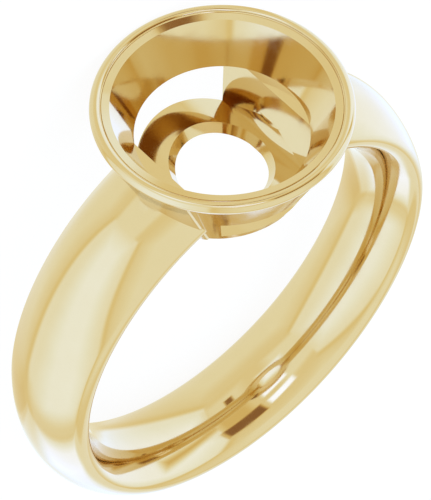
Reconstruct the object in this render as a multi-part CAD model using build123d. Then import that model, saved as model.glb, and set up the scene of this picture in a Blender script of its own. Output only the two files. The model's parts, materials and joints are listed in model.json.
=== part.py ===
from build123d import *
import math
import os

# Bezel ring mounting for one large round stone, cast in yellow gold. Millimetres.
# It is modelled upright, with the finger hole along Y and the cup's mouth towards +Z.
# Then it is turned onto its side, as a ring lies on a table, and stands on Z = 0.

# Band
finger_diameter = 17.3
comfort_radius = 3.43        # dome of the inside, across the band
edge_radius = 0.57           # rounding of both rims of the band
width_at_bottom = 4.54
width_at_side = 4.66
width_at_head = 5.2
thickness_at_bottom = 2.41
thickness_at_side = 2.36
thickness_at_head = 3.03
swell_start = 108            # degrees from opposite the cup, where the band begins to thicken
swell_end = 150
band_spans = 12              # lofted spans in half of the band

# Cup that holds the stone
seat_height = 2.37           # from the top of the finger hole to the ledge under the seat
seat_depth = 1.9             # from the ledge to the mouth
seat_lean = 1.0              # how much further out the seat's wall is at the mouth than at the ledge
rim_diameter = 11.17
rim_wall = 0.85              # from the rim's outside to the mouth of the seat
bead_diameter = 0.54         # the rounded edge of the rim
bevel_width = 0.385          # from the mouth of the seat out to the bead's inner flank
bead_rise = 0.15             # from the mouth up to the top of the bead
groove_width = 0.1           # the fine round groove where the bevel meets the bead
cup_base_diameter = 7.3      # outside, level with the top of the finger hole
bead_overhang = 0.065        # how far the bead stands proud of the cup's outside

# Shoulders that rise from the band to the rim
collar_width_low = 4.64      # level with the top of the finger hole
collar_width_top = 6.2       # level with the middle of the bead
collar_step = 0.08           # how far they stand proud of the cup

# Gallery, open from front to back under the seat, and the plate below it
ledge_width = 0.59           # what the gallery leaves of the seat's floor at either side
gallery_width_bottom = 4.8
window_height = 1.9          # from the top of the finger hole to its upper edge in the cup's outside
plate_clearance = 0.02       # from the top of the finger hole to the plate's underside
plate_thickness = 0.43
hole_diameter_top = 4.78
hole_diameter_bottom = 4.18

# Heights are above the finger's centre, and reaches are from the cup's axis.
finger_radius = finger_diameter / 2
ledge_height = finger_radius + seat_height
mouth_height = ledge_height + seat_depth
rim_top = mouth_height + bead_rise
bead_radius = bead_diameter / 2
bead_reach = rim_diameter / 2 - bead_radius
bead_height = rim_top - bead_radius
mouth_reach = rim_diameter / 2 - rim_wall
valley_reach = mouth_reach + bevel_width
valley_height = bead_height + math.sqrt(bead_radius ** 2 - (bead_reach - valley_reach) ** 2)
bevel_slope = (valley_height - mouth_height) / bevel_width
ledge_reach = mouth_reach - seat_lean
gallery_reach = ledge_reach - ledge_width
cup_base_reach = cup_base_diameter / 2
cup_flare = (rim_diameter / 2 - bead_overhang - cup_base_reach) / (bead_height - finger_radius)
collar_top = bead_height - bead_radius / 2
window_top = finger_radius + window_height
plate_bottom = finger_radius + plate_clearance
plate_top = plate_bottom + plate_thickness
cut_length = 2 * rim_diameter


def around(at_bottom, at_side, at_head, angle):
    """A size that changes smoothly round the band. Angle 0 is opposite the cup, 180 under it."""
    s = (1 - math.cos(math.radians(angle))) / 2
    return at_bottom * (1 - s) * (1 - 2 * s) + at_side * 4 * s * (1 - s) + at_head * s * (2 * s - 1)


def band_thickness(angle):
    """Nearly even round the finger, it swells as the band comes up to the head."""
    even = around(thickness_at_bottom, thickness_at_side, thickness_at_side, angle)
    from_bottom = 180 - abs(180 - abs(angle))
    part = min(max((from_bottom - swell_start) / (swell_end - swell_start), 0), 1)
    return even + (thickness_at_head - thickness_at_side) * part ** 2 * (3 - 2 * part)


def edge_center(angle):
    """Centre of the band's rounded edge: its distances from the middle and the inner crown."""
    reach = comfort_radius - edge_radius
    offset = around(width_at_bottom, width_at_side, width_at_head, angle) / 2 - edge_radius
    return offset, comfort_radius - math.sqrt(reach ** 2 - offset ** 2)


def band_section(angle):
    """Oval of four tangent arcs: domed inside, two rounded edges, domed outside."""
    thickness = band_thickness(angle)
    offset, height = edge_center(angle)
    rise = thickness - height
    crown_radius = (offset ** 2 + rise ** 2 - edge_radius ** 2) / (2 * (rise - edge_radius))
    inner_turn = math.asin(offset / (comfort_radius - edge_radius))
    crown_turn = math.asin(offset / (crown_radius - edge_radius))
    inner_end = (comfort_radius * math.sin(inner_turn), comfort_radius * (1 - math.cos(inner_turn)))
    crown_end = (crown_radius * math.sin(crown_turn),
                 thickness - crown_radius * (1 - math.cos(crown_turn)))
    inner_start = (-inner_end[0], inner_end[1])
    crown_start = (-crown_end[0], crown_end[1])
    outline = [
        ThreePointArc(inner_start, (0, 0), inner_end),
        ThreePointArc(inner_end, (offset + edge_radius, height), crown_end),
        ThreePointArc(crown_end, (0, thickness), crown_start),
        ThreePointArc(crown_start, (-offset - edge_radius, height), inner_start),
    ]
    outward = Vector(0, 0, -1).rotate(Axis.Y, -angle)
    plane = Plane(outward * finger_radius, x_dir=(0, 1, 0), z_dir=Vector(0, 1, 0).cross(outward))
    return plane * make_face(outline)


def make_band():
    """Closed band: one half is lofted a span past both ends, trimmed flat and mirrored."""
    angles = [180 / band_spans * step for step in range(-1, band_spans + 2)]
    half = loft([band_section(angle) for angle in angles])
    half &= Pos(X=cut_length) * Box(2 * cut_length, 2 * cut_length, 2 * cut_length)
    return half + mirror(half, about=Plane.YZ)


def cup_radius(height):
    return cup_base_reach + cup_flare * (height - finger_radius)


def make_cup():
    """Flared cup with a beaded rim, and a bevel and a fine groove inside the bead.

    It is solid until its seat and the gallery are cut.
    """
    low = finger_radius / 2
    wall = make_face(Polyline(
        (0, low), (cup_radius(low), low), (cup_radius(bead_height), bead_height),
        (bead_reach, bead_height), (valley_reach, valley_height),
        (0, mouth_height - bevel_slope * mouth_reach), close=True))
    bead = Pos(bead_reach, bead_height) * Circle(bead_radius)
    groove = Pos(valley_reach, valley_height) * Circle(groove_width / 2)
    return revolve(Plane.XZ * (wall + bead - groove), Axis.Z)


def make_seat():
    """The space for the stone, which tapers down to the ledge and is drawn past the mouth."""
    space = make_face(Polyline(
        (0, ledge_height), (ledge_reach, ledge_height),
        (mouth_reach + seat_lean, mouth_height + seat_depth), (0, mouth_height + seat_depth), close=True))
    return revolve(Plane.XZ * space, Axis.Z)


def collar_cone(step):
    """The cone of the cup's outside, grown by step, from inside the finger hole up into the bead."""
    low = finger_radius / 2
    return Pos(Z=low) * Cone(cup_radius(low) + step, cup_radius(collar_top) + step, collar_top - low,
                             align=(Align.CENTER, Align.CENTER, Align.MIN))


def make_collar():
    """The shoulders' upper ends, which hug the cup from the band up to the bead and widen upwards."""
    low_half, top_half = collar_width_low / 2, collar_width_top / 2
    foot_half = low_half - (top_half - low_half) / (bead_height - finger_radius) * finger_radius
    outline = Polyline((-foot_half, 0), (foot_half, 0), (top_half, bead_height),
                       (-top_half, bead_height), close=True)
    hug = collar_cone(collar_step) - collar_cone(-collar_step)
    return hug & extrude(Plane.YZ * make_face(outline), amount=cut_length / 2, both=True)


def make_gallery():
    """The opening from front to back: its sides lean out upwards, and its floor follows the finger.

    Its roof slopes down from the edge of the seat's floor to the two windows in the cup's outside.
    """
    low_half = gallery_width_bottom / 2
    lean = (gallery_reach - low_half) / (ledge_height - finger_radius)
    top_half = low_half + lean * (cut_length - finger_radius)
    outline = Polyline((-low_half, finger_radius), (low_half, finger_radius),
                       (top_half, cut_length), (-top_half, cut_length), close=True)
    prism = extrude(Plane.XZ * make_face(outline), amount=cut_length / 2, both=True)
    window_reach = cup_radius(window_top)
    peak = window_top + window_reach * (ledge_height - window_top) / (window_reach - ledge_reach)
    under_roof = revolve(Plane.XZ * make_face(Polyline(
        (0, 0), (cut_length, 0), (cut_length, window_top), (window_reach, window_top), (0, peak),
        close=True)), Axis.Z)
    return (prism & under_roof) - Rot(X=90) * Cylinder(plate_top, 2 * cut_length)


def make_hole():
    """The tapering hole through the plate, drawn past both of its faces."""
    taper = (hole_diameter_top - hole_diameter_bottom) / 2 / plate_thickness
    low, high = plate_bottom - plate_thickness, plate_top + plate_thickness
    bottom_radius = hole_diameter_bottom / 2 - taper * plate_thickness
    top_radius = hole_diameter_top / 2 + taper * plate_thickness
    return Pos(Z=low) * Cone(bottom_radius, top_radius, high - low,
                             align=(Align.CENTER, Align.CENTER, Align.MIN))


def make_mounting():
    """Band, shoulders, cup and plate as one casting, upright about the finger's centre."""
    head = make_cup() + make_collar() - Rot(X=90) * Cylinder(plate_bottom, cut_length)
    return make_band() + head - make_seat() - make_gallery() - make_hole()


def resting_tilt():
    """Angle in degrees between the floor and the band's middle plane, with the ring on its side."""
    edge_offset, edge_height = edge_center(0)
    across = bead_reach - edge_offset
    along = bead_height + finger_radius + edge_height
    lean = math.asin((edge_radius - bead_radius) / math.hypot(across, along))
    return math.degrees(math.atan2(across, along) - lean)


def lay_down(upright):
    """Turned onto its side, the cup's mouth towards -Y, and stood on the floor about the origin."""
    lying = Rot(X=90 - resting_tilt()) * upright
    box = lying.bounding_box()
    return Pos(-box.center().X, -box.center().Y, -box.min.Z) * lying


mounting = lay_down(make_mounting())
os.makedirs("parts", exist_ok=True)
export_step(mounting, "parts/bezel_ring.step")
print("resting tilt", round(resting_tilt(), 3), "volume", round(mounting.volume, 1))
print("size", mounting.bounding_box().size)
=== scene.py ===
import json
import math

import bmesh
import bpy
from mathutils import Matrix, Vector


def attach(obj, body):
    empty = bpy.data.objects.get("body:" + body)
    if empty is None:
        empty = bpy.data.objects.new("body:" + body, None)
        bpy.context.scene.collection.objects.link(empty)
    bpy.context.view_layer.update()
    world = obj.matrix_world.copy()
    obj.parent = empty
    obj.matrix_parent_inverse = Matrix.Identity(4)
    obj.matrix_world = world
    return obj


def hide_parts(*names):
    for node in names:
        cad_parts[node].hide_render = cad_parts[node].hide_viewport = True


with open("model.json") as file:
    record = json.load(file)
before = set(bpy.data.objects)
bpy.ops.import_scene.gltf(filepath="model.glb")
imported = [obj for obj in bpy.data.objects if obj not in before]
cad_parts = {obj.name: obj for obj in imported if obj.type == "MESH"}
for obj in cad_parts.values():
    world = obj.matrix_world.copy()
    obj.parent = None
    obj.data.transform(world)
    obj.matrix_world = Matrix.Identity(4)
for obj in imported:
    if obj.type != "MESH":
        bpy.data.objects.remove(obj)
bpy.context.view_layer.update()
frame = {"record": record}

# The band: one closed hoop of cast gold, domed inside so that it slides over a knuckle,
# domed outside, with rounded edges, and a little wider and thicker under the cup.
# It is drawn upright in millimetres, the finger along Y and the cup towards +Z.
finger_radius = 17.3 / 2
comfort_radius = 3.43
edge_radius = 0.57
bottom_width = 4.54
side_width = 4.66
head_width = 5.2
bottom_thickness = 2.41
side_thickness = 2.36
head_thickness = 3.03
swell_start = math.radians(108)
swell_end = math.radians(150)
steps_round_band = 360
arc_steps = (14, 20, 20)
seam = 1e-4


def around(at_bottom, at_side, at_head, turn):
    """A size that changes smoothly round the band. Turn 0 is opposite the cup, pi under it."""
    s = (1 - math.cos(turn)) / 2
    return at_bottom * (1 - s) * (1 - 2 * s) + at_side * 4 * s * (1 - s) + at_head * s * (2 * s - 1)


def band_thickness(turn):
    """Nearly even round the finger, it swells as the band comes up to the head."""
    even = around(bottom_thickness, side_thickness, side_thickness, turn)
    from_bottom = math.pi - abs(math.pi - turn)
    part = min(max((from_bottom - swell_start) / (swell_end - swell_start), 0), 1)
    return even + (head_thickness - side_thickness) * part ** 2 * (3 - 2 * part)


def half_section(turn):
    """Points across and outward, from the middle of the inside round one edge to the outside."""
    offset = around(bottom_width, side_width, head_width, turn) / 2 - edge_radius
    thickness = band_thickness(turn)
    reach = comfort_radius - edge_radius
    height = comfort_radius - math.sqrt(reach ** 2 - offset ** 2)
    rise = thickness - height
    crown_radius = (offset ** 2 + rise ** 2 - edge_radius ** 2) / (2 * (rise - edge_radius))
    dome_end = math.asin(offset / reach) - math.pi / 2
    crown_start = math.pi / 2 - math.asin(offset / (crown_radius - edge_radius))
    arcs = ((0, comfort_radius, comfort_radius, -math.pi / 2, dome_end),
            (offset, height, edge_radius, dome_end, crown_start),
            (0, thickness - crown_radius, crown_radius, crown_start, math.pi / 2))
    points = [(0, 0)]
    for (across, outward, radius, start, end), steps in zip(arcs, arc_steps):
        for step in range(1, steps + 1):
            angle = start + (end - start) * step / steps
            points.append((across + radius * math.cos(angle), outward + radius * math.sin(angle)))
    return points


def add_piece(name, mesh):
    """An object in the scene made from a bmesh, which is used up."""
    bmesh.ops.recalc_face_normals(mesh, faces=mesh.faces)
    data = bpy.data.meshes.new(name)
    mesh.to_mesh(data)
    mesh.free()
    piece = bpy.data.objects.new(name, data)
    bpy.context.scene.collection.objects.link(piece)
    return piece


half_steps = sum(arc_steps)
band_mesh = bmesh.new()
bmesh.ops.create_grid(band_mesh, x_segments=steps_round_band, y_segments=2 * half_steps, size=1)
sections = [half_section(2 * math.pi * row / steps_round_band) for row in range(steps_round_band + 1)]
for vert in band_mesh.verts:
    row = round((vert.co.x + 1) / 2 * steps_round_band)
    column = round(vert.co.y * half_steps)
    across, outward = sections[row][abs(column)]
    turn = 2 * math.pi * row / steps_round_band
    reach = finger_radius + outward
    vert.co = (reach * math.sin(turn), math.copysign(across, column), -reach * math.cos(turn))
bmesh.ops.remove_doubles(band_mesh, verts=band_mesh.verts, dist=seam)
casting = add_piece("ring_casting", band_mesh)

# The cup: a flared bezel with a beaded rim, spun round its axis. It is cast with the band
# and is solid until the seat and the gallery are cut in it.
seat_height = 2.37
seat_depth = 1.9
seat_lean = 1.0
rim_radius = 11.17 / 2
rim_wall = 0.85
bevel_width = 0.385
bead_radius = 0.54 / 2
bead_rise = 0.15
bead_overhang = 0.065
groove_radius = 0.1 / 2
cup_base_reach = 7.3 / 2
ledge_height = finger_radius + seat_height
mouth_height = ledge_height + seat_depth
bead_height = mouth_height + bead_rise - bead_radius
bead_reach = rim_radius - bead_radius
mouth_reach = rim_radius - rim_wall
ledge_reach = mouth_reach - seat_lean
valley_reach = mouth_reach + bevel_width
valley_height = bead_height + math.sqrt(bead_radius ** 2 - (bead_reach - valley_reach) ** 2)
bevel_slope = (valley_height - mouth_height) / bevel_width
cup_flare = (rim_radius - bead_overhang - cup_base_reach) / (bead_height - finger_radius)
cup_low = finger_radius / 2
steps_round_cup = 360
bead_steps = 28
groove_steps = 10


def cup_radius(height):
    """The outside of the cup at a height above the finger's centre."""
    return cup_base_reach + cup_flare * (height - finger_radius)


def spin_outline(outline, closed):
    """A bmesh of the (reach, height) outline spun round the cup's axis."""
    mesh = bmesh.new()
    verts = [mesh.verts.new((reach, 0, height)) for reach, height in outline]
    ends = verts[1:] + verts[:1] if closed else verts[1:]
    edges = [mesh.edges.new(pair) for pair in zip(verts, ends)]
    bmesh.ops.spin(mesh, geom=verts + edges, cent=(0, 0, 0), axis=(0, 0, 1), angle=2 * math.pi,
                   steps=steps_round_cup, use_merge=True)
    bmesh.ops.remove_doubles(mesh, verts=mesh.verts, dist=seam)
    return mesh


# The bead's arc starts where the cup's outside runs into it from below, and goes over the
# top to a fine round groove, in the valley where the bevel inside the rim meets it.
lean = math.atan(cup_flare)
depth_in_bead = (bead_reach - cup_radius(bead_height)) * math.cos(lean)
arc_start = math.pi - lean + math.acos(depth_in_bead / bead_radius)
chord_turn = 2 * math.asin(groove_radius / 2 / bead_radius)
valley_turn = math.acos((valley_reach - bead_reach) / bead_radius)
groove_start = valley_turn - math.pi / 2 - chord_turn / 2
groove_end = math.atan(bevel_slope) - math.pi


def arc(middle, radius, start, end, steps):
    """Points on an arc in the outline, from one turn to another."""
    turns = [start + (end - start) * step / steps for step in range(steps + 1)]
    return [(middle[0] + radius * math.cos(turn), middle[1] + radius * math.sin(turn)) for turn in turns]


bead = arc((bead_reach, bead_height), bead_radius, arc_start, 2 * math.pi + valley_turn - chord_turn,
           bead_steps)
groove = arc((valley_reach, valley_height), groove_radius, groove_start, groove_end, groove_steps)
cup_outline = [(0, cup_low), (cup_radius(cup_low), cup_low), *bead, *groove,
               (0, mouth_height - bevel_slope * mouth_reach)]
cup = add_piece("cup", spin_outline(cup_outline, closed=False))

# The shoulders: the band's upper ends run up the two sides of the cup to its rim, widening
# as they go, and stand a hair proud of it, so that a fine step shows where they stop.
shoulder_low_half = 4.64 / 2
shoulder_top_half = 6.2 / 2
shoulder_lean = (shoulder_top_half - shoulder_low_half) / (bead_height - finger_radius)
shoulder_step = 0.08
shoulder_top = bead_height - bead_radius / 2
shoulder_outline = [(cup_radius(height) + step, height)
                    for height, step in ((cup_low, -shoulder_step), (cup_low, shoulder_step),
                                         (shoulder_top, shoulder_step), (shoulder_top, -shoulder_step))]
shoulder_mesh = spin_outline(shoulder_outline, closed=True)
for way in (-1, 1):
    cut = bmesh.ops.bisect_plane(shoulder_mesh, geom=[*shoulder_mesh.verts, *shoulder_mesh.edges,
                                                      *shoulder_mesh.faces],
                                 plane_co=(0, way * shoulder_low_half, finger_radius),
                                 plane_no=(0, way, -shoulder_lean), clear_outer=True)
    bmesh.ops.holes_fill(shoulder_mesh, sides=0,
                         edges=[part for part in cut["geom_cut"] if isinstance(part, bmesh.types.BMEdge)])
shoulders = add_piece("shoulders", shoulder_mesh)

# What is cut away: the finger hole, the bevelled and tapering seat, the gallery that runs
# under it from front to back, over a curved plate, and the tapering hole in that plate.
plate_clearance = 0.02
plate_thickness = 0.43
ledge_width = 0.59
window_height = 1.9
gallery_low_half = 4.8 / 2
hole_top_radius = 4.78 / 2
hole_low_radius = 4.18 / 2
steps_round_bore = 720
# The cuts run past the metal, and the gallery's roof starts a hair outside the seat's floor,
# so that no two cuts end in the same edge.
cut_length = 30
overshoot = 0.6
hair = 0.004
plate_low = finger_radius + plate_clearance
plate_top = plate_low + plate_thickness
gallery_lean = (ledge_reach - ledge_width - gallery_low_half) / (ledge_height - finger_radius)
window_top = finger_radius + window_height
window_reach = cup_radius(window_top)


def bore(radius):
    """A cylinder along the finger."""
    mesh = bmesh.new()
    bmesh.ops.create_cone(mesh, cap_ends=True, segments=steps_round_bore, radius1=radius, radius2=radius,
                          depth=cut_length, matrix=Matrix.Rotation(math.pi / 2, 4, "X"))
    return mesh


finger_bore = add_piece("finger_bore", bore(plate_low))
plate_bore = add_piece("plate_bore", bore(plate_top))
seat_end = (2 * mouth_reach - ledge_reach, 2 * mouth_height - ledge_height)
seat = add_piece("seat", spin_outline([(0, ledge_height), (ledge_reach, ledge_height), seat_end,
                                       (0, seat_end[1])], closed=False))
roof_reach = ledge_reach + hair
roof_slope = (ledge_height - window_top) / (window_reach - roof_reach)
roof_foot = (window_reach + overshoot, window_top - overshoot * roof_slope)
under_roof = add_piece("under_roof", spin_outline([(0, 0), (cut_length, 0), (cut_length, roof_foot[1]),
                                                   roof_foot, (0, ledge_height + roof_reach * roof_slope)],
                                                  closed=False))
hole_widening = (hole_top_radius - hole_low_radius) / plate_thickness * overshoot
hole_middle = Matrix.Translation((0, 0, (plate_low + plate_top) / 2))
hole_mesh = bmesh.new()
bmesh.ops.create_cone(hole_mesh, cap_ends=True, segments=steps_round_cup,
                      radius1=hole_low_radius - hole_widening, radius2=hole_top_radius + hole_widening,
                      depth=plate_thickness + 2 * overshoot, matrix=hole_middle)
plate_hole = add_piece("plate_hole", hole_mesh)
gallery_top_half = gallery_low_half + gallery_lean * (cut_length - finger_radius)
gallery_mesh = bmesh.new()
gallery_corners = [gallery_mesh.verts.new((x, -cut_length / 2, z))
                   for x, z in ((-gallery_low_half, finger_radius), (gallery_low_half, finger_radius),
                                (gallery_top_half, cut_length), (-gallery_top_half, cut_length))]
mouth = gallery_mesh.faces.new(gallery_corners)
extruded = bmesh.ops.extrude_face_region(gallery_mesh, geom=[mouth])
bmesh.ops.translate(gallery_mesh, vec=(0, cut_length, 0),
                    verts=[part for part in extruded["geom"] if isinstance(part, bmesh.types.BMVert)])
gallery = add_piece("gallery", gallery_mesh)

# The casting: cup, shoulders and band are one piece of metal, so they are joined into one
# skin and pierced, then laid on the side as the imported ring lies.
MM = 0.001
mounts = {mount["name"]: mount for mount in frame["record"]["mounts"]}
finger_axis = Vector(mounts["finger_hole"]["axis"])
finger_centre = Vector(mounts["finger_hole"]["pos_m"])
cup_axis = Vector(mounts["stone_seat"]["axis"])
sharp_edge = math.radians(20)


def combine(target, operation, *tools):
    """Joins tools to the target, or cuts them from it, when the target is evaluated."""
    for tool in tools:
        modifier = target.modifiers.new(tool.name, "BOOLEAN")
        modifier.operation = operation
        modifier.object = tool
        modifier.solver = "EXACT"


combine(cup, "UNION", shoulders)
combine(cup, "DIFFERENCE", finger_bore)
combine(gallery, "INTERSECT", under_roof)
combine(gallery, "DIFFERENCE", plate_bore)
combine(casting, "UNION", cup)
combine(casting, "DIFFERENCE", gallery, seat, plate_hole)
evaluated = casting.evaluated_get(bpy.context.evaluated_depsgraph_get())
joined = bpy.data.meshes.new_from_object(evaluated)
skin = bmesh.new()
skin.from_mesh(joined)
bmesh.ops.remove_doubles(skin, verts=skin.verts, dist=seam)
bmesh.ops.dissolve_degenerate(skin, edges=skin.edges, dist=seam)
skin.to_mesh(joined)
skin.free()
casting.modifiers.clear()
casting.data = joined
for tool in (cup, shoulders, finger_bore, plate_bore, seat, under_roof, plate_hole, gallery):
    bpy.data.objects.remove(tool)
lying = Matrix((finger_axis.cross(cup_axis), finger_axis, cup_axis)).transposed().to_4x4()
joined.transform(Matrix.Translation(finger_centre) @ lying @ Matrix.Scale(MM, 4))
joined.shade_smooth()
joined.set_sharp_from_angle(angle=sharp_edge)
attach(casting, "root")
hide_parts("bezel_ring")


def linear(hex_colour):
    """An sRGB hex colour as the linear RGBA that a shader socket takes."""
    parts = [int(hex_colour[i:i + 2], 16) / 255 for i in (1, 3, 5)]
    return [c / 12.92 if c <= 0.04045 else ((c + 0.055) / 1.055) ** 2.4 for c in parts] + [1.0]


def add_node(tree, kind, inputs=None, **settings):
    """A new node with its settings, and its sockets given a value or linked to a node's output."""
    node = tree.nodes.new(kind)
    for name, value in settings.items():
        setattr(node, name, value)
    for name, value in (inputs or {}).items():
        if isinstance(value, bpy.types.NodeSocket):
            tree.links.new(value, node.inputs[name])
        else:
            node.inputs[name].default_value = value
    return node


# The finish: 14 karat yellow gold, cast, then polished to a mirror with a felt wheel and rouge.
# The eye gets a pale yellow mirror whose reflections are a little soft, in faint patches where
# the wheel cut less, and the metal is a touch warmer there. The wheel's own grain is about
# 0.02 mm, too fine to show, so it is drawn 0.25 mm wide and very shallow.
gold_colour = linear("#E1C68E")
warm_gold_colour = linear("#DFC287")
polish_patch = 1.6 * MM
wheel_grain = 0.25 * MM
grain_depth = 0.00006 * MM
clear_polish = 0.05
hazy_polish = 0.12
gold = bpy.data.materials.new("rouge_polished_14_karat_yellow_gold")
gold.use_nodes = True
tree = gold.node_tree
shader = tree.nodes["Principled BSDF"]
spot = add_node(tree, "ShaderNodeTexCoord").outputs["Object"]
patches = add_node(tree, "ShaderNodeTexNoise", {"Vector": spot, "Scale": 1 / polish_patch,
                                                "Detail": 3.0, "Roughness": 0.6})
haze = add_node(tree, "ShaderNodeMapRange", {"Value": patches.outputs["Fac"], "From Min": 0.35,
                                             "From Max": 0.7, "To Min": clear_polish,
                                             "To Max": hazy_polish})
tint = add_node(tree, "ShaderNodeMixRGB", {"Fac": patches.outputs["Fac"], "Color1": gold_colour,
                                           "Color2": warm_gold_colour})
grain = add_node(tree, "ShaderNodeTexNoise", {"Vector": spot, "Scale": 1 / wheel_grain, "Detail": 2.0})
polish = add_node(tree, "ShaderNodeBump", {"Height": grain.outputs["Fac"], "Distance": grain_depth})
shader.inputs["Metallic"].default_value = 1.0
tree.links.new(tint.outputs["Color"], shader.inputs["Base Color"])
tree.links.new(haze.outputs["Result"], shader.inputs["Roughness"])
tree.links.new(polish.outputs["Normal"], shader.inputs["Normal"])
joined.materials.clear()
joined.materials.append(gold)

# The table: a plain white sheet of matt acrylic, lit evenly from below, so that the ring
# lies on plain white as in a catalogue picture. The gold mirrors the tent and not the sheet.
table_half = 400 * MM
table_mesh = bmesh.new()
bmesh.ops.create_grid(table_mesh, x_segments=1, y_segments=1, size=table_half)
table = add_piece("table", table_mesh)
acrylic = bpy.data.materials.new("matt_white_acrylic")
acrylic.use_nodes = True
sheet_shader = acrylic.node_tree.nodes["Principled BSDF"]
sheet_shader.inputs["Base Color"].default_value = linear("#6C6C6C")
sheet_shader.inputs["Roughness"].default_value = 0.9
sheet_shader.inputs["Specular IOR Level"].default_value = 0.0
sheet_shader.inputs["Emission Color"].default_value = linear("#FFFFFF")
sheet_shader.inputs["Emission Strength"].default_value = 0.88
table.data.materials.append(acrylic)
table.visible_glossy = False

# The studio: a photographer's tent of thin white cloth, lit from outside, with lamps and dark
# flags in its ceiling for the polished metal to mirror. Lengths are in half widths of the
# tent, about the ring and along its side, its back and its cup's axis.
side = cup_axis.cross(finger_axis)
tent_turn = math.radians(2)
tent_ceiling = 1.37
tent_floor = 1.6
corner_width = 0.2
corner_tone = 0.8
even_tone = 0.88
brightest_tone = 1.6
ramp_strength = 3.8
# A tone of the tent, and the shade that the gold shows where it mirrors that tone. The light
# is warmer where the tent is dim, and cooler where it is bright.
gold_shades = ((0.17, "#82572D"), (0.3, "#A17336"), (0.62, "#CDA85A"), (0.81, "#D9BF7C"),
               (1.0, "#E1D2A0"), (1.18, "#E8E3C5"), (1.58, "#FFFFFF"))
# Each panel has its middle, its half size, half the width of its soft edge and its tone. The
# rows are the front and the back; the left wall and its lit middle; the right wall, its lit
# middle and a dim post; the shaded foot all round; and the dimmer foot of the back.
tent_walls = (
    ((0.0, -1.0, 0.0), (0.5, 0.1, 0.75), 0.5, 1.1),
    ((0.0, 1.0, 0.0), (0.5, 0.1, 0.65), 0.5, 1.07),
    ((-1.0, 0.0, 0.0), (0.1, 0.94, 2.0), 0.03, 1.07),
    ((-1.0, -0.08, 0.0), (0.1, 0.3, 0.9), 0.45, 1.32),
    ((1.0, 0.0, 0.0), (0.1, 0.95, 2.0), 0.03, 1.14),
    ((1.0, 0.0, 0.0), (0.1, 0.4, 0.9), 0.45, 1.38),
    ((1.0, -0.17, 0.95), (0.1, 0.09, 0.8), 0.12, 0.6),
    ((0.0, 0.0, -1.9), (2.0, 2.0, 0.75), 0.4, 0.83),
    ((0.0, 1.0, -tent_floor), (0.9, 0.1, 0.5), 0.35, 0.72),
)
# The ceiling, its three lit panels and a dim rib; two lamps; two dark flags and a dim middle;
# the floor, its lit middle and its lit left side.
tent_ends = (
    ((0.0, 0.0, tent_ceiling), (1.1, 1.1, 0.01), 0.01, 0.86),
    ((-0.7, 0.1, tent_ceiling), (0.4, 0.7, 0.1), 0.15, 1.03),
    ((-0.3, 0.2, tent_ceiling), (0.22, 0.2, 0.1), 0.1, 1.35),
    ((0.6, 0.3, tent_ceiling), (0.4, 0.4, 0.1), 0.15, 0.98),
    ((0.6, -0.3, tent_ceiling), (0.3, 0.22, 0.1), 0.1, 0.66),
    ((-0.16, -0.7, tent_ceiling), (0.25, 0.12, 0.1), 0.04, 1.6),
    ((-0.15, -0.31, tent_ceiling), (0.22, 0.08, 0.1), 0.04, 1.6),
    ((0.6, -0.7, tent_ceiling), (0.4, 0.2, 0.1), 0.04, 0.18),
    ((0.48, 0.39, tent_ceiling), (0.08, 0.11, 0.1), 0.03, 0.2),
    ((0.1, 0.1, tent_ceiling), (0.11, 0.11, 0.1), 0.04, 0.3),
    ((0.0, 0.0, -tent_floor), (0.97, 0.97, 0.02), 0.1, 1.12),
    ((0.0, 0.0, -tent_floor), (0.4, 0.4, 0.1), 0.3, 1.3),
    ((-0.5, 0.0, -tent_floor), (0.3, 0.5, 0.1), 0.3, 1.5),
)
studio = bpy.data.worlds.new("light_tent")
bpy.context.scene.world = studio
studio.use_nodes = True
tree = studio.node_tree


def hang_panels(tone, panels):
    """The tone of the tent with each panel hung over what is behind it."""
    for middle, half_size, edge, panel_tone in panels:
        offset = add_node(tree, "ShaderNodeVectorMath", {0: on_tent, 1: middle}, operation="SUBTRACT")
        reach = add_node(tree, "ShaderNodeVectorMath", {0: offset.outputs[0]}, operation="ABSOLUTE")
        beyond = add_node(tree, "ShaderNodeVectorMath", {0: reach.outputs[0], 1: half_size},
                          operation="SUBTRACT")
        outside = -edge
        for part in add_node(tree, "ShaderNodeSeparateXYZ", {0: beyond.outputs[0]}).outputs:
            outside = add_node(tree, "ShaderNodeMath", {0: outside, 1: part},
                               operation="MAXIMUM").outputs[0]
        cover = add_node(tree, "ShaderNodeMapRange", {"Value": outside, "From Min": -edge,
                                                      "From Max": edge, "To Min": 1.0, "To Max": 0.0},
                         interpolation_type="SMOOTHSTEP")
        tone = add_node(tree, "ShaderNodeMix", {"Factor": cover.outputs["Result"], "A": tone,
                                                "B": panel_tone}).outputs["Result"]
    return tone


# The way that a ray goes, turned to the tent's axes and stretched until it meets the cloth.
tent_axes = Matrix.Rotation(tent_turn, 3, "Z") @ Matrix((side, -finger_axis, cup_axis))
ray = add_node(tree, "ShaderNodeTexCoord").outputs["Generated"]
turned = add_node(tree, "ShaderNodeMapping", {"Vector": ray, "Rotation": tent_axes.to_euler()},
                  vector_type="POINT").outputs["Vector"]
across, along, upward = add_node(tree, "ShaderNodeSeparateXYZ", {0: turned}).outputs
to_wall = [add_node(tree, "ShaderNodeMath", {0: part}, operation="ABSOLUTE").outputs[0]
           for part in (across, along)]
to_ends = [add_node(tree, "ShaderNodeMath", {0: upward, 1: end}, operation="DIVIDE").outputs[0]
           for end in (tent_ceiling, -tent_floor)]
nearest = 0.0
for reach in (*to_wall, *to_ends):
    nearest = add_node(tree, "ShaderNodeMath", {0: nearest, 1: reach}, operation="MAXIMUM").outputs[0]
stretch = add_node(tree, "ShaderNodeMath", {0: 1.0, 1: nearest}, operation="DIVIDE").outputs[0]
on_tent = add_node(tree, "ShaderNodeVectorMath", {0: turned, "Scale": stretch},
                   operation="SCALE").outputs[0]
walls = hang_panels(even_tone, tent_walls)
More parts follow.
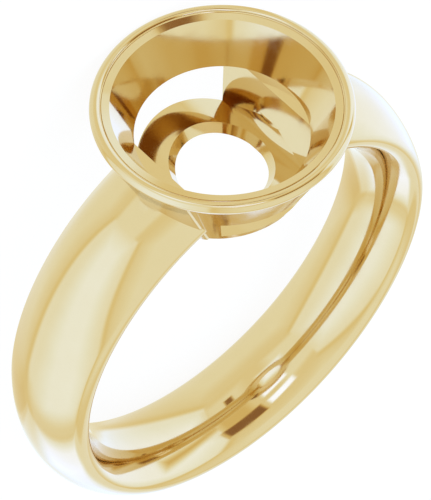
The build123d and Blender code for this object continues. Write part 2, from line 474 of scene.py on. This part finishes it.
to_further_wall = add_node(tree, "ShaderNodeMath", {0: to_wall[0], 1: to_wall[1]}, operation="MINIMUM")
corner_depth = add_node(tree, "ShaderNodeMath", {0: to_further_wall.outputs[0], 1: stretch},
                        operation="MULTIPLY")
corner = add_node(tree, "ShaderNodeMapRange", {"Value": corner_depth.outputs[0],
                                               "From Min": 1 - corner_width, "From Max": 1.0},
                  interpolation_type="SMOOTHSTEP")
cornered = add_node(tree, "ShaderNodeMix", {"Factor": corner.outputs["Result"], "A": walls,
                                            "B": corner_tone}).outputs["Result"]
tone = hang_panels(cornered, tent_ends)
ramp_place = add_node(tree, "ShaderNodeMath", {0: tone, 1: brightest_tone}, operation="DIVIDE")
ramp = add_node(tree, "ShaderNodeValToRGB", {"Fac": ramp_place.outputs[0]})
while len(ramp.color_ramp.elements) < len(gold_shades):
    ramp.color_ramp.elements.new(0.5)
# The light of each tone is the shade divided by the gold's own colour.
for element, (shade_tone, shade) in zip(ramp.color_ramp.elements, gold_shades):
    element.position = shade_tone / brightest_tone
    light = [shown / metal / ramp_strength for shown, metal in zip(linear(shade), gold_colour)]
    element.color = (*light[:3], 1.0)
# The tent lights the gold and the table. The camera, past the table's edge, sees plain white.
tent_light = add_node(tree, "ShaderNodeBackground", {"Color": ramp.outputs["Color"],
                                                     "Strength": ramp_strength})
plain_light = add_node(tree, "ShaderNodeBackground", {"Color": linear("#FFFFFF"), "Strength": 1.0})
seen = add_node(tree, "ShaderNodeLightPath").outputs["Is Camera Ray"]
either_light = add_node(tree, "ShaderNodeMixShader", {0: seen, 1: tent_light.outputs[0],
                                                      2: plain_light.outputs[0]})
tree.links.new(either_light.outputs[0], tree.nodes["World Output"].inputs["Surface"])
bpy.context.scene.view_settings.view_transform = "Standard"

# The camera: the photograph's angle to the ring, worked out from the ring's own axes.
azimuth = math.radians(-41.26)
elevation = math.radians(53.63)
roll = math.radians(0.49)
camera_distance = 160.2 * MM
photo_height = 500
pixels_per_radian = 3585
picture_right = -0.24 * MM
picture_up = 1.74 * MM
back = (side * math.sin(azimuth) + finger_axis * math.cos(azimuth)) * math.cos(elevation)
back += cup_axis * math.sin(elevation)
level_right = side * math.cos(azimuth) - finger_axis * math.sin(azimuth)
level_up = back.cross(level_right)
right = level_right * math.cos(roll) + level_up * math.sin(roll)
up = level_up * math.cos(roll) - level_right * math.sin(roll)
eye = finger_centre + back * camera_distance
aim = finger_centre + right * picture_right + up * picture_up
view_back = (eye - aim).normalized()
view_right = up.cross(view_back).normalized()
view_up = view_back.cross(view_right)
camera_data = bpy.data.cameras.new("camera")
camera_data.sensor_width = 36.0
camera_data.lens = camera_data.sensor_width * pixels_per_radian / photo_height
camera_data.clip_start = 10 * MM
camera_data.clip_end = 10.0
camera = bpy.data.objects.new("camera", camera_data)
axes = Matrix((view_right, view_up, view_back)).transposed()
camera.matrix_world = Matrix.Translation(eye) @ axes.to_4x4()
bpy.context.scene.collection.objects.link(camera)
bpy.context.scene.camera = camera
